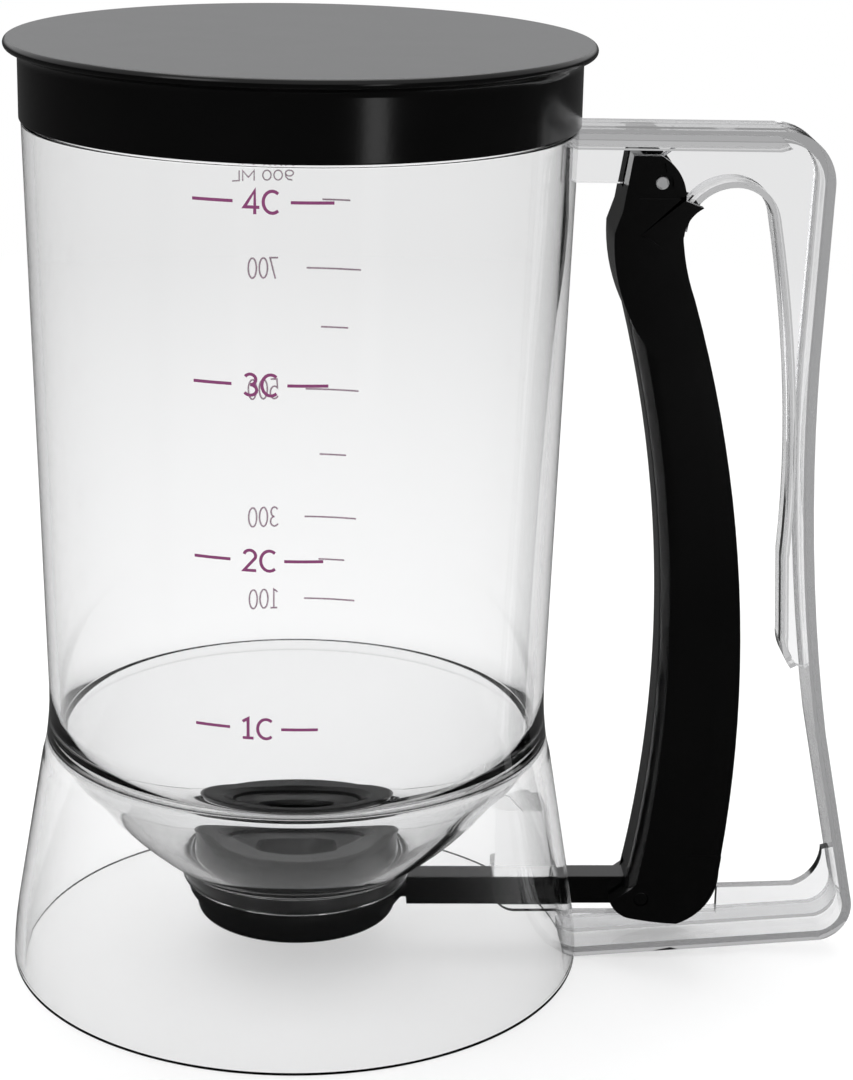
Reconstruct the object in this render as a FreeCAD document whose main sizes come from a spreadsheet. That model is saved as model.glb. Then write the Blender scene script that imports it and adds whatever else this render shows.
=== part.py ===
import FreeCAD, Part
import math
import os

import Sketcher

# Pancake batter dispenser. Millimetres, +Z up. The origin is the vessel's axis at the table, and the
# handle lies along +X in the plane y = 0. The clear vessel is a tapered hopper with a bowl-shaped funnel,
# standing on a flared skirt. A T-section handle loop carries a pivoting trigger lever. The lever pulls a
# slide bar, whose gate plate opens and closes the outlet under the funnel.

doc = FreeCAD.newDocument("batter_dispenser")

# Driving dimensions, in millimetres unless the name says degrees.
SIZES = {
    # hopper
    "hopper_height": 181.4,
    "hopper_wall": 1.95,
    "hopper_waist_radius": 48.95,
    "hopper_waist_height": 57.0,
    "hopper_shoulder_radius": 51.8,
    "hopper_shoulder_height": 168.2,
    "hopper_shoulder_step": 0.95,
    "hopper_neck_wall": 1.15,
    # seam between the hopper and the skirt
    "seam_height": 48.3,
    "seam_radius": 49.45,
    "spigot_depth": 2.8,
    "spigot_clearance": 0.1,
    # funnel and its neck
    "funnel_neck_radius": 23.0,
    "funnel_neck_wall": 2.1,
    "funnel_neck_bottom": 16.2,
    "funnel_neck_top": 19.4,
    "funnel_wall": 2.2,
    "funnel_bowl_radius": 90.0,
    "funnel_blend_radius": 24.0,
    # flared skirt
    "skirt_radius": 57.0,
    "skirt_wall": 2.0,
    "skirt_cone_top_radius": 50.6,
    "skirt_cone_top_height": 42.5,
    "skirt_cone_foot_radius": 55.9,
    "skirt_cone_foot_height": 11.5,
    "skirt_top_bend": 30.0,
    "skirt_foot_bend": 76.0,
    "skirt_slot_width": 10.0,
    "skirt_slot_bottom": 7.4,
    "skirt_slot_top": 17.4,
    # lid
    "lid_rim_radius": 54.8,
    "lid_rim_thickness": 2.0,
    "lid_skirt_radius": 52.2,
    "lid_skirt_bottom": 168.7,
    "lid_clearance": 0.15,
    "lid_plug_depth": 6.0,
    "lid_plug_wall": 1.4,
    "lid_plug_clearance": 0.3,
    "lid_underfillet": 1.8,
    # valve seat
    "seat_lip_radius": 20.7,
    "seat_clearance": 0.2,
    "seat_top": 27.2,
    "seat_bore_radius": 13.6,
    "seat_bore_depth": 4.5,
    "outlet_radius": 5.6,
    # slide with gate plate and bar
    "gate_bottom": 11.2,
    "gate_thickness": 2.4,
    "gate_radius": 13.6,
    "gate_overlap": 1.4,
    "gate_tail": 16.6,
    "gate_narrowing": 4.6,
    "bar_start": 22.3,
    "gate_clearance": 0.15,
    "bar_height": 6.0,
    "bar_width": 5.6,
    "bar_axis_height": 12.6,
    "eye_length": 3.2,
    "eye_head_start": 67.4,
    "eye_head_bottom": 9.3,
    "eye_head_top": 16.9,
    "eye_slot_low": 0.3,
    "eye_slot_high": 1.3,
    "gate_travel": 12.62,
    # outlet ring under the neck
    "ring_bottom": 9.0,
    "ring_radius": 19.9,
    "ring_flange_radius": 21.6,
    "ring_flange_bottom": 13.4,
    # handle frame
    "band_top": 168.3,
    "band_thickness": 2.1,
    "band_half_width_top": 6.5,
    "band_half_width_foot": 7.9,
    "root_depth": 2.1,
    "root_half_width": 4.5,
    "web_thickness": 2.4,
    "web_top_depth": 11.0,
    "lip_thickness": 1.2,
    "lip_half_width": 4.5,
    "grip_outer": 99.2,
    "grip_bulge": 13.3,
    "band_sweep": 420.0,
    "boss_radius": 3.4,
    "boss_reach": 5.1,
    # trigger lever
    "pivot_x": 67.2,
    "pivot_height": 158.5,
    "lever_half_width": 7.5,
    "lever_wall": 2.0,
    "lever_edge_round": 3.6,
    "lever_bow": 264.0,
    "head_top": 163.6,
    "pin_radius": 1.2,
    "pin_clearance": 0.08,
    "link_x": 69.6,
    "link_radius": 1.5,
    "recess_depth": 0.7,
    "slit_clearance": 0.35,
    "rear_step": 0.5,
    # torsion spring
    "spring_wire": 0.8,
    "spring_coil_radius": 2.6,
    "spring_turns": 2.25,
    # rod guide
    "guide_front": 39.8,
    "guide_top": 31.0,
    "guide_bottom": 9.0,
    "guide_clearance": 0.5,
    "guide_wall": 1.6,
}

sheet = doc.addObject("Spreadsheet::Sheet", "sizes")
for row, (alias, number) in enumerate(SIZES.items(), start=1):
    sheet.set("A%d" % row, alias)
    sheet.set("B%d" % row, str(number))
    sheet.setAlias("B%d" % row, alias)
doc.recompute()


class Size:
    """A length that knows both its number and the sheet formula it comes from."""

    def __init__(self, number, formula):
        self.number = float(number)
        self.formula = formula

    def _join(self, other, sign, number):
        return Size(number, "(%s %s %s)" % (self.formula, sign, size_of(other).formula))

    def __add__(self, other):
        return self._join(other, "+", self.number + size_of(other).number)

    def __sub__(self, other):
        return self._join(other, "-", self.number - size_of(other).number)

    def __mul__(self, other):
        return self._join(other, "*", self.number * size_of(other).number)

    def __truediv__(self, other):
        return self._join(other, "/", self.number / size_of(other).number)

    def __neg__(self):
        return Size(-self.number, "(-1 * %s)" % self.formula)

    def __radd__(self, other):
        return size_of(other) + self

    def __rsub__(self, other):
        return size_of(other) - self

    def __rmul__(self, other):
        return size_of(other) * self


def size_of(value):
    """Any number as a Size."""
    return value if isinstance(value, Size) else Size(value, repr(float(value)))


def size(alias):
    """The Size of a cell of the sheet."""
    return Size(SIZES[alias], "sizes.%s" % alias)


def arc_middle(start, end, radius):
    """Middle of an arc between two points. A positive radius bulges to the left of start to end."""
    dx = end[0] - start[0]
    dy = end[1] - start[1]
    chord = math.hypot(dx, dy)
    rise = abs(radius) - math.sqrt(radius * radius - chord * chord / 4)
    side = math.copysign(rise, radius) / chord
    return ((start[0] + end[0]) / 2 - dy * side, (start[1] + end[1]) / 2 + dx * side)


def new_body(label):
    """An empty body with its label."""
    body = doc.addObject("PartDesign::Body", label)
    body.Label = label
    return body


def sketch_on(body, role):
    """A sketch on one of the body's own origin planes."""
    sketch = body.newObject("Sketcher::SketchObject", body.Name + "_sketch")
    plane = [feature for feature in body.Origin.OriginFeatures if feature.Role == role][0]
    sketch.AttachmentSupport = [(plane, "")]
    sketch.MapMode = "FlatFace"
    return sketch


def bind(sketch, constraint, formula):
    """Add a constraint and bind its value to a formula of the sheet."""
    index = sketch.addConstraint(constraint)
    sketch.setExpression("Constraints[%d]" % index, formula)


def pin_point(sketch, geometry, point, place):
    """Hold one point of the sketch at a pair of sizes."""
    for kind, value in (("DistanceX", size_of(place[0])), ("DistanceY", size_of(place[1]))):
        bind(sketch, Sketcher.Constraint(kind, -1, 1, geometry, point, value.number), value.formula)


def outline(sketch, corners):
    """Closed outline. A corner is (x, y) or (x, y, radius): the radius bends the side that leaves it."""
    first = sketch.GeometryCount
    count = len(corners)
    for index, corner in enumerate(corners):
        start = [size_of(value).number for value in corner[:2]]
        end = [size_of(value).number for value in corners[(index + 1) % count][:2]]
        start_point = FreeCAD.Vector(start[0], start[1], 0)
        end_point = FreeCAD.Vector(end[0], end[1], 0)
        if len(corner) == 3:
            middle = arc_middle(start, end, size_of(corner[2]).number)
            arc = Part.Arc(start_point, FreeCAD.Vector(middle[0], middle[1], 0), end_point)
            sketch.addGeometry(arc, False)
        else:
            sketch.addGeometry(Part.LineSegment(start_point, end_point), False)
    for index, corner in enumerate(corners):
        here = first + index
        after = first + (index + 1) % count
        shared = corners[(index + 1) % count]
        ends = [end_of(sketch, here, shared), end_of(sketch, after, shared)]
        sketch.addConstraint(Sketcher.Constraint("Coincident", here, ends[0], after, ends[1]))
        pin_point(sketch, here, end_of(sketch, here, corner), corner)
        if len(corner) == 3:
            bend = size_of(corner[2])
            text = bend.formula if bend.number > 0 else "(-1 * %s)" % bend.formula
            bind(sketch, Sketcher.Constraint("Radius", here, abs(bend.number)), text)


def end_of(sketch, geometry, place):
    """Which end of a line or arc lies at a place: 1 for its start and 2 for its end."""
    x = size_of(place[0]).number
    y = size_of(place[1]).number
    near = sketch.getPoint(geometry, 1)
    far = sketch.getPoint(geometry, 2)
    return 1 if math.hypot(near.x - x, near.y - y) < math.hypot(far.x - x, far.y - y) else 2


def ring(sketch, x, y, radius):
    """A circle in a sketch."""
    centre = (size_of(x), size_of(y))
    rim = size_of(radius)
    place = FreeCAD.Vector(centre[0].number, centre[1].number, 0)
    index = sketch.addGeometry(Part.Circle(place, FreeCAD.Vector(0, 0, 1), rim.number), False)
    pin_point(sketch, index, 3, centre)
    bind(sketch, Sketcher.Constraint("Radius", index, rim.number), rim.formula)


def pad(body, sketch, width, centred=True, backwards=False):
    """Thicken a sketch by a width, to both sides or to one."""
    feature = body.newObject("PartDesign::Pad", body.Name + "_pad")
    feature.Profile = sketch
    feature.Length = size_of(width).number
    feature.setExpression("Length", size_of(width).formula)
    feature.Midplane = centred
    feature.Reversed = backwards
    return settle(body, feature)


def cut(body, sketch, width=None, centred=True, backwards=False):
    """Cut a sketch out of a body, by a width or all the way through."""
    before = body.Shape.Volume
    feature = body.newObject("PartDesign::Pocket", body.Name + "_cut")
    feature.Profile = sketch
    if width is None:
        feature.Type = 1
    else:
        feature.Length = size_of(width).number
        feature.setExpression("Length", size_of(width).formula)
    feature.Midplane = centred
    feature.Reversed = backwards
    settle(body, feature)
    if body.Shape.Volume > before - 1e-3:
        raise RuntimeError("%s cuts nothing" % feature.Name)
    return feature


def revolve(body, corners):
    """Turn an outline of (radius, height) corners about the vertical axis."""
    sketch = sketch_on(body, "XZ_Plane")
    outline(sketch, corners)
    feature = body.newObject("PartDesign::Revolution", body.Name + "_turn")
    feature.Profile = sketch
    feature.ReferenceAxis = (sketch, ["V_Axis"])
    feature.Angle = 360.0
    return settle(body, feature)


def groove(body, corners):
    """Turn an outline about the vertical axis and cut it away."""
    before = body.Shape.Volume
    sketch = sketch_on(body, "XZ_Plane")
    outline(sketch, corners)
    feature = body.newObject("PartDesign::Groove", body.Name + "_groove")
    feature.Profile = sketch
    feature.ReferenceAxis = (sketch, ["V_Axis"])
    feature.Angle = 360.0
    settle(body, feature)
    if body.Shape.Volume > before - 1e-3:
        raise RuntimeError("%s cuts nothing" % feature.Name)
    return feature


def round_edges(body, radius, chosen):
    """Round the edges of the body that a test picks."""
    base = body.Tip
    names = ["Edge%d" % (index + 1) for index, edge in enumerate(base.Shape.Edges) if chosen(edge)]
    if not names:
        raise RuntimeError("%s has no edge to round" % body.Label)
    feature = body.newObject("PartDesign::Fillet", body.Name + "_round")
    feature.Base = (base, names)
    feature.Radius = size_of(radius).number
    feature.setExpression("Radius", size_of(radius).formula)
    return settle(body, feature)


def settle(body, feature):
    """Recompute and stop where a feature has failed."""
    body.Tip = feature
    doc.recompute()
    if "Invalid" in feature.State or "Error" in feature.State or feature.Shape.isNull():
        raise RuntimeError("%s failed" % feature.Name)
    return feature


# Hopper: outer wall, shoulder under the lid, spigot in the skirt, bowl funnel and neck.
neck_outer = size("funnel_neck_radius")
neck_inner = neck_outer - size("funnel_neck_wall")
spigot_radius = size("seam_radius") - size("skirt_wall") - size("spigot_clearance")
spigot_bottom = size("seam_height") - size("spigot_depth")
rim_outer = size("hopper_shoulder_radius") - size("hopper_shoulder_step")
rim_inner = rim_outer - size("hopper_neck_wall")
waist_inner = size("hopper_waist_radius") - size("hopper_wall")
bowl_top_inner = spigot_radius - size("funnel_wall") * 0.45

hopper = new_body("hopper")
revolve(hopper, [
    (neck_outer, size("funnel_neck_bottom")),
    (neck_outer, size("funnel_neck_top"), -size("funnel_bowl_radius")),
    (spigot_radius, spigot_bottom),
    (spigot_radius, size("seam_height")),
    (size("seam_radius"), size("seam_height"), size("skirt_top_bend") * 2),
    (size("hopper_waist_radius"), size("hopper_waist_height")),
    (size("hopper_shoulder_radius"), size("hopper_shoulder_height")),
    (rim_outer, size("hopper_shoulder_height")),
    (rim_outer, size("hopper_height")),
    (rim_inner, size("hopper_height")),
    (rim_inner, size("hopper_shoulder_height")),
    (waist_inner, size("hopper_waist_height"), size("funnel_blend_radius")),
    (bowl_top_inner, size("seam_height"), size("funnel_bowl_radius") - size("funnel_wall")),
    (neck_inner, size("funnel_neck_top") + size("funnel_wall") * 0.55),
    (neck_inner, size("funnel_neck_bottom")),
])


def skirt_side(inset):
    """Side of the skirt from its foot to the seam, moved in by an inset."""
    return [
        (size("skirt_radius") - inset, 0.0, -(size("skirt_foot_bend") - inset)),
        (size("skirt_cone_foot_radius") - inset, size("skirt_cone_foot_height")),
        (size("skirt_cone_top_radius") - inset, size("skirt_cone_top_height"), size("skirt_top_bend") + inset),
        (size("seam_radius") - inset, size("seam_height")),
    ]


# Skirt: a flared wall with a slot for the slide bar on the handle side.
inner_side = list(reversed([corner[:2] for corner in skirt_side(size("skirt_wall"))]))
inner_side[0] = inner_side[0] + (-(size("skirt_top_bend") + size("skirt_wall")),)
inner_side[2] = inner_side[2] + (size("skirt_foot_bend") - size("skirt_wall"),)
base_skirt = new_body("base_skirt")
revolve(base_skirt, skirt_side(Size(0.0, "0.0")) + inner_side)
slot = sketch_on(base_skirt, "YZ_Plane")
half_slot = size("skirt_slot_width") / 2
outline(slot, [
    (-half_slot, size("skirt_slot_bottom")),
    (half_slot, size("skirt_slot_bottom")),
    (half_slot, size("skirt_slot_top") - half_slot / 2, -half_slot * 1.25),
    (-half_slot, size("skirt_slot_top") - half_slot / 2),
])
cut(base_skirt, slot, size("skirt_radius") * 2, centred=False, backwards=True)

# Lid: a disc with an overhanging rim, a skirt over the hopper's rim and a plug ring inside it.
disc_bottom = size("hopper_height") + size("lid_clearance")
disc_top = disc_bottom + size("lid_rim_thickness")
lid_skirt_inner = rim_outer + size("lid_clearance")
plug_outer = rim_inner - size("lid_plug_clearance")
lid = new_body("lid")
revolve(lid, [
    (0.0, disc_bottom),
    (plug_outer - size("lid_plug_wall"), disc_bottom),
    (plug_outer - size("lid_plug_wall"), disc_bottom - size("lid_plug_depth")),
    (plug_outer, disc_bottom - size("lid_plug_depth")),
    (plug_outer, disc_bottom),
    (lid_skirt_inner, disc_bottom),
    (lid_skirt_inner, size("lid_skirt_bottom")),
    (size("lid_skirt_radius"), size("lid_skirt_bottom")),
    (size("lid_skirt_radius"), disc_bottom - size("lid_underfillet"), size("lid_underfillet")),
    (size("lid_skirt_radius") + size("lid_underfillet"), disc_bottom),
    (size("lid_rim_radius") - size("lid_rim_thickness") / 2, disc_bottom, -size("lid_rim_thickness") / 2 * 1.0001),
    (size("lid_rim_radius") - size("lid_rim_thickness") / 2, disc_top),
    (0.0, disc_top),
])

# Valve seat: the black cup in the funnel's mouth, with a stepped bore down to the outlet.
seat_outer = neck_inner - size("seat_clearance")
gate_top = size("gate_bottom") + size("gate_thickness")
seat_bottom = gate_top + size("gate_clearance")
valve_seat = new_body("valve_seat")
revolve(valve_seat, [
    (size("outlet_radius"), seat_bottom),
    (seat_outer, seat_bottom),
    (seat_outer, size("seat_top") - 1.2, -1.6),
    (seat_outer - 1.2, size("seat_top")),
    (size("seat_bore_radius") + 2.0, size("seat_top") - 0.4),
    (size("seat_bore_radius"), size("seat_top") - 2.2),
    (size("seat_bore_radius"), size("seat_top") - size("seat_bore_depth")),
    (size("outlet_radius") + 2.6, size("seat_top") - size("seat_bore_depth") - 2.0),
    (size("outlet_radius"), seat_bottom + 2.0),
])

# Outlet ring: clips under the neck, carries the gate plate and has a slot for it on the handle side.
ring_floor = size("gate_bottom") - size("gate_clearance")
outlet_ring = new_body("outlet_ring")
revolve(outlet_ring, [
    (size("outlet_radius") + 0.4, size("ring_bottom")),
    (size("ring_radius") - 0.6, size("ring_bottom"), -0.9),
    (size("ring_radius"), size("ring_bottom") + 0.6),
    (size("ring_radius"), size("ring_flange_bottom") - 0.8),
    (size("ring_flange_radius"), size("ring_flange_bottom")),
    (size("ring_flange_radius"), size("funnel_neck_bottom")),
    (seat_outer + size("seat_clearance"), size("funnel_neck_bottom")),
    (seat_outer + size("seat_clearance"), seat_bottom),
    (size("outlet_radius") + 0.4, seat_bottom),
])
gate_path = sketch_on(outlet_ring, "XY_Plane")
path_width = size("gate_radius") + size("gate_clearance")
path_tip = size("outlet_radius") + size("gate_overlap") + size("gate_clearance")
outline(gate_path, [
    (path_width - path_tip, path_width, -path_width * 1.0001),
    (path_width - path_tip, -path_width),
    (size("ring_flange_radius") + 2.0, -path_width),
    (size("ring_flange_radius") + 2.0, path_width),
])
gate_path.AttachmentOffset = FreeCAD.Placement(FreeCAD.Vector(0, 0, ring_floor.number), FreeCAD.Rotation())
gate_path.setExpression("AttachmentOffset.Base.z", ring_floor.formula)
cut(outlet_ring, gate_path, seat_bottom - ring_floor, centred=False, backwards=True)

# Slide: the gate plate with its rounded tip, and the bar with the eye for the link pin.
bar_half = size("bar_width") / 2
bar_low = size("bar_axis_height") - size("bar_height") / 2
bar_top = size("bar_axis_height") + size("bar_height") / 2
eye_end = size("link_x") + size("eye_length")
gate_slide = new_body("gate_slide")
plate = sketch_on(gate_slide, "XY_Plane")
tip_reach = size("outlet_radius") + size("gate_overlap")
outline(plate, [
    (size("gate_radius") - tip_reach, size("gate_radius"), -size("gate_radius") * 1.0001),
    (size("gate_radius") - tip_reach, -size("gate_radius")),
    (size("gate_tail"), -size("gate_radius")),
    (size("gate_tail") + size("gate_narrowing"), -bar_half),
    (size("bar_start") + 2.0, -bar_half),
    (size("bar_start") + 2.0, bar_half),
    (size("gate_tail") + size("gate_narrowing"), bar_half),
    (size("gate_tail"), size("gate_radius")),
])
plate.AttachmentOffset = FreeCAD.Placement(FreeCAD.Vector(0, 0, SIZES["gate_bottom"]), FreeCAD.Rotation())
plate.setExpression("AttachmentOffset.Base.z", "sizes.gate_bottom")
pad(gate_slide, plate, size("gate_thickness"), centred=False)
bar = sketch_on(gate_slide, "XZ_Plane")
outline(bar, [
    (size("bar_start"), bar_low),
    (size("eye_head_start") - 1.0, bar_low),
    (size("eye_head_start"), size("eye_head_bottom")),
    (eye_end - 1.0, size("eye_head_bottom")),
    (eye_end, size("eye_head_bottom") + 1.0),
    (eye_end, size("eye_head_top") - 1.0),
    (eye_end - 1.0, size("eye_head_top")),
    (size("eye_head_start"), size("eye_head_top")),
    (size("eye_head_start") - 1.0, bar_top),
    (size("bar_start"), bar_top),
])
pad(gate_slide, bar, size("bar_width"))
eye = sketch_on(gate_slide, "XZ_Plane")
eye_half = size("link_radius") + size("gate_clearance")
outline(eye, [
    (size("link_x") - eye_half, size("bar_axis_height") - size("eye_slot_low"), -eye_half * 1.0001),
    (size("link_x") + eye_half, size("bar_axis_height") - size("eye_slot_low")),
    (size("link_x") + eye_half, size("bar_axis_height") + size("eye_slot_high"), -eye_half * 1.0001),
    (size("link_x") - eye_half, size("bar_axis_height") + size("eye_slot_high")),
])
cut(gate_slide, eye, size("bar_width") * 2)


# Handle frame: a band round the loop, a root and web inside it, a lip round the arch and the pivot boss.
top = size("band_top")
under = top - size("band_thickness")
root_low = under - size("root_depth")
web_low = top - size("web_top_depth")
outer_x = size("grip_outer")
thick = size("band_thickness")
band_half = size("band_half_width_foot")
handle_frame = new_body("handle_frame")
band = sketch_on(handle_frame, "XZ_Plane")
outline(band, [
    (size("hopper_waist_radius"), top),
    (outer_x - 9.2, top, 10.0),
    (outer_x + 0.7, top - 10.3),
    (outer_x - 0.2, top - 44.0, -size("band_sweep")),
    (outer_x + 5.7, 48.9),
    (outer_x + 13.1, 13.0, 7.6),
    (outer_x + 7.3, 3.8),
    (size("skirt_radius") - 3.0, 0.0),
    (size("skirt_radius") - 3.0, thick),
    (outer_x + 7.1, thick + 3.8, -5.5),
    (outer_x + 13.1 - thick, 13.4),
    (outer_x + 5.7 - thick, 49.2, size("band_sweep") + thick),
    (outer_x - 0.2 - thick, top - 44.2),
    (outer_x + 0.7 - thick, top - 10.6, -7.9),
    (outer_x - 9.4, under),
    (size("hopper_waist_radius"), under),
])
pad(handle_frame, band, band_half * 2)
taper = sketch_on(handle_frame, "YZ_Plane")
for side in (1, -1):
    outline(taper, [
        (size("band_half_width_top") * side, top + 1.0),
        (size("band_half_width_foot") * side, 0.0),
        (size("band_half_width_foot") * side * 1.5, 0.0),
        (size("band_half_width_foot") * side * 1.5, top + 1.0),
    ])
cut(handle_frame, taper)
root = sketch_on(handle_frame, "XZ_Plane")
outline(root, [
    (size("hopper_waist_radius"), under + 0.5),
    (outer_x - 9.4, under + 0.5),
    (outer_x - 7.4, root_low + 0.6),
    (outer_x - 9.4, root_low),
    (size("hopper_waist_radius"), root_low),
])
pad(handle_frame, root, size("root_half_width") * 2)
arch = [
    (outer_x - 26.6, web_low - 8.5, 9.24),
    (outer_x - 17.4, web_low, 7.46),
    (outer_x - 10.1, web_low - 6.0, 316.0),
    (outer_x - 5.1, web_low - 40.9, 244.0),
    (outer_x - 4.5, 84.0),
    (outer_x - 3.6, 67.5, -9.0),
]
toe = (outer_x - 1.6, 61.4)
web = sketch_on(handle_frame, "XZ_Plane")
outline(web, [
    (size("hopper_waist_radius"), under + 0.5),
    (size("hopper_waist_radius"), web_low),
    (outer_x - 33.0, web_low),
] + arch + [
    toe,
    (outer_x + 2.8, 60.0, size("band_sweep")),
    (outer_x - 1.2, top - 44.0),
    (outer_x - 0.6, top - 10.6, -8.9),
    (outer_x - 9.4, under + 0.6),
    (outer_x - 12.0, under + 0.5),
])
pad(handle_frame, web, size("web_thickness"))
foot_web = sketch_on(handle_frame, "XZ_Plane")
web_step = size("link_x") + size("gate_travel") + size("eye_length") + 0.6
outline(foot_web, [
    (size("skirt_radius") - 3.0, thick / 2),
    (outer_x + 7.2, thick / 2 + 3.8, -6.5),
    (outer_x + 12.1, 13.2),
    (outer_x + 10.2, 21.5),
    (outer_x + 7.9, 21.0, 8.0),
    (outer_x + 2.2, 12.9),
    (web_step, 12.4),
    (web_step, 6.6),
    (size("skirt_radius") - 3.0, 6.6),
])
pad(handle_frame, foot_web, size("web_thickness"))
lip = sketch_on(handle_frame, "XZ_Plane")
lip_gap = size("lip_thickness")
outline(lip, arch + [
    toe,
    (toe[0] + 1.1, toe[1] + 0.6, 8.0),
    (outer_x - 3.6 + lip_gap, 67.9),
    (outer_x - 4.5 + lip_gap, 84.0, -244.0 - lip_gap),
    (outer_x - 5.1 + lip_gap, web_low - 40.8, -316.0 - lip_gap),
    (outer_x - 10.1 + lip_gap, web_low - 5.8, -7.46 - lip_gap),
    (outer_x - 17.4, web_low + lip_gap, -9.24 - lip_gap),
    (outer_x - 26.6 - lip_gap, web_low - 8.0),
])
pad(handle_frame, lip, size("lip_half_width") * 2)
boss = sketch_on(handle_frame, "XZ_Plane")
ring(boss, size("pivot_x"), size("pivot_height"), size("boss_radius"))
pad(handle_frame, boss, size("boss_reach"), centred=False)
bore = sketch_on(handle_frame, "XZ_Plane")
ring(bore, size("pivot_x"), size("pivot_height"), size("pin_radius"))
cut(handle_frame, bore, band_half * 2)
groove(handle_frame, [
    (size("hopper_waist_radius") - 10.0, size("hopper_waist_height")),
    (size("hopper_waist_radius"), size("hopper_waist_height")),
    (size("hopper_shoulder_radius"), size("hopper_shoulder_height")),
    (size("hopper_shoulder_radius"), size("band_top") + 2.0),
    (size("hopper_waist_radius") - 10.0, size("band_top") + 2.0),
])
skirt_groove = skirt_side(Size(0.0, "0.0"))
groove(handle_frame, skirt_groove + [
    (size("skirt_cone_top_radius") - 10.0, size("seam_height")),
    (size("skirt_cone_top_radius") - 10.0, 0.0),
])

# Rod guide: a bracket inside the skirt whose two cheeks keep the bar straight.
guide_half = bar_half + size("guide_clearance")
guide_back = size("skirt_radius")
rod_guide = new_body("rod_guide")
guide = sketch_on(rod_guide, "XZ_Plane")
outline(guide, [
    (size("guide_front"), size("guide_bottom") + 3.0, -5.0),
    (size("guide_front") + 4.0, size("guide_bottom")),
    (guide_back, size("guide_bottom")),
    (guide_back, size("guide_top")),
    (size("guide_front"), size("guide_top")),
])
pad(rod_guide, guide, (guide_half + size("guide_wall")) * 2)
channel = sketch_on(rod_guide, "YZ_Plane")
outline(channel, [
    (-guide_half, 0.0),
    (guide_half, 0.0),
    (guide_half, bar_top + size("guide_clearance")),
    (-guide_half, bar_top + size("guide_clearance")),
])
cut(rod_guide, channel)
groove(rod_guide, skirt_side(size("skirt_wall")) + [
    (size("skirt_radius") * 2, size("seam_height")),
    (size("skirt_radius") * 2, 0.0),
])

# Trigger lever: a U-channel grip, open to the rear, whose head straddles the web at the pivot.
px = size("pivot_x")
pz = size("pivot_height")
lx = size("link_x")
lz = size("bar_axis_height")
bow = size("lever_bow")
wall = size("lever_wall")
trigger_lever = new_body("trigger_lever")
side = sketch_on(trigger_lever, "XZ_Plane")
outline(side, [
    (px - 5.6, size("head_top")),
    (px - 7.2, pz - 5.3),
    (px - 8.6, pz - 9.5, -35.0),
    (px - 5.5, pz - 24.7, bow),
    (px - 1.0, lz + 1.3),
    (lx - 6.2, lz - 0.8, -6.0),
    (lx - 2.6, lz - 4.1, -60.0),
    (lx + 7.4, lz - 5.4, -12.0),
    (lx + 15.5, lz + 6.3, -bow - 11.0),
    (px + 7.2, pz - 22.1, 42.0),
    (px + 4.6, pz - 11.6, 6.5),
    (px + 8.0, pz - 4.6),
    (px + 4.6, pz - 3.3, -9.0),
    (px - 0.4, size("head_top")),
])
pad(trigger_lever, side, size("lever_half_width") * 2)


def on_lever_front(edge):
    """Whether an edge of the lever runs down the long part of its front corners."""
    middle = edge.valueAt((edge.FirstParameter + edge.LastParameter) / 2)
    box = edge.BoundBox
    outer = abs(abs(middle.y) - SIZES["lever_half_width"]) < 0.01
    return outer and box.YLength < 0.01 and box.ZLength > 40.0 and middle.x < px.number + 6.0


round_edges(trigger_lever, size("lever_edge_round"), on_lever_front)
hollow = sketch_on(trigger_lever, "XZ_Plane")
outline(hollow, [
    (px - 5.6 + wall, size("head_top") + 1.0),
    (px - 7.2 + wall, pz - 5.3),
    (px - 8.6 + wall, pz - 9.5, -35.0 + wall),
    (px - 5.5 + wall, pz - 24.7, bow - wall),
    (px - 1.0 + wall, lz + 1.3),
    (px - 2.8 + wall, lz - 12.0),
    (px + 40.0, lz - 12.0),
    (px + 40.0, size("head_top") + 1.0),
])
cut(trigger_lever, hollow, (size("lever_half_width") - wall) * 2)
window = sketch_on(trigger_lever, "XY_Plane")
window_half = bar_half + size("guide_clearance") * 1.6
outline(window, [
    (px - 12.0, -window_half),
    (px + 3.0, -window_half),
    (px + 3.0, window_half),
    (px - 12.0, window_half),
])
cut(trigger_lever, window, size("eye_head_top") + size("guide_clearance"), centred=False, backwards=True)
web_slit = sketch_on(trigger_lever, "XZ_Plane")
outline(web_slit, [
    (px - 14.0, web_low - size("slit_clearance") * 2),
    (px, web_low - size("slit_clearance") * 2),
    (px, size("head_top") + 1.0),
    (px - 14.0, size("head_top") + 1.0),
])
cut(trigger_lever, web_slit, size("web_thickness") + size("slit_clearance") * 2)
holes = sketch_on(trigger_lever, "XZ_Plane")
ring(holes, px, pz, size("pin_radius") + size("pin_clearance"))
ring(holes, lx, lz, size("link_radius"))
cut(trigger_lever, holes, size("lever_half_width") * 4)


def cut_both_cheeks(sketch, depth):
    """Sink a sketch into both outer faces of the lever by a depth."""
    floor = size("lever_half_width") - depth
    sketch.AttachmentOffset = FreeCAD.Placement(FreeCAD.Vector(0, 0, floor.number), FreeCAD.Rotation())
    sketch.setExpression("AttachmentOffset.Base.z", floor.formula)
    near = cut(trigger_lever, sketch, depth * 3, centred=False, backwards=True)
    far = trigger_lever.newObject("PartDesign::Mirrored", "far_cheek")
    far.Originals = [near]
    plane = [feature for feature in trigger_lever.Origin.OriginFeatures if feature.Role == "XZ_Plane"][0]
    far.MirrorPlane = (plane, [""])
    settle(trigger_lever, far)


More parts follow.
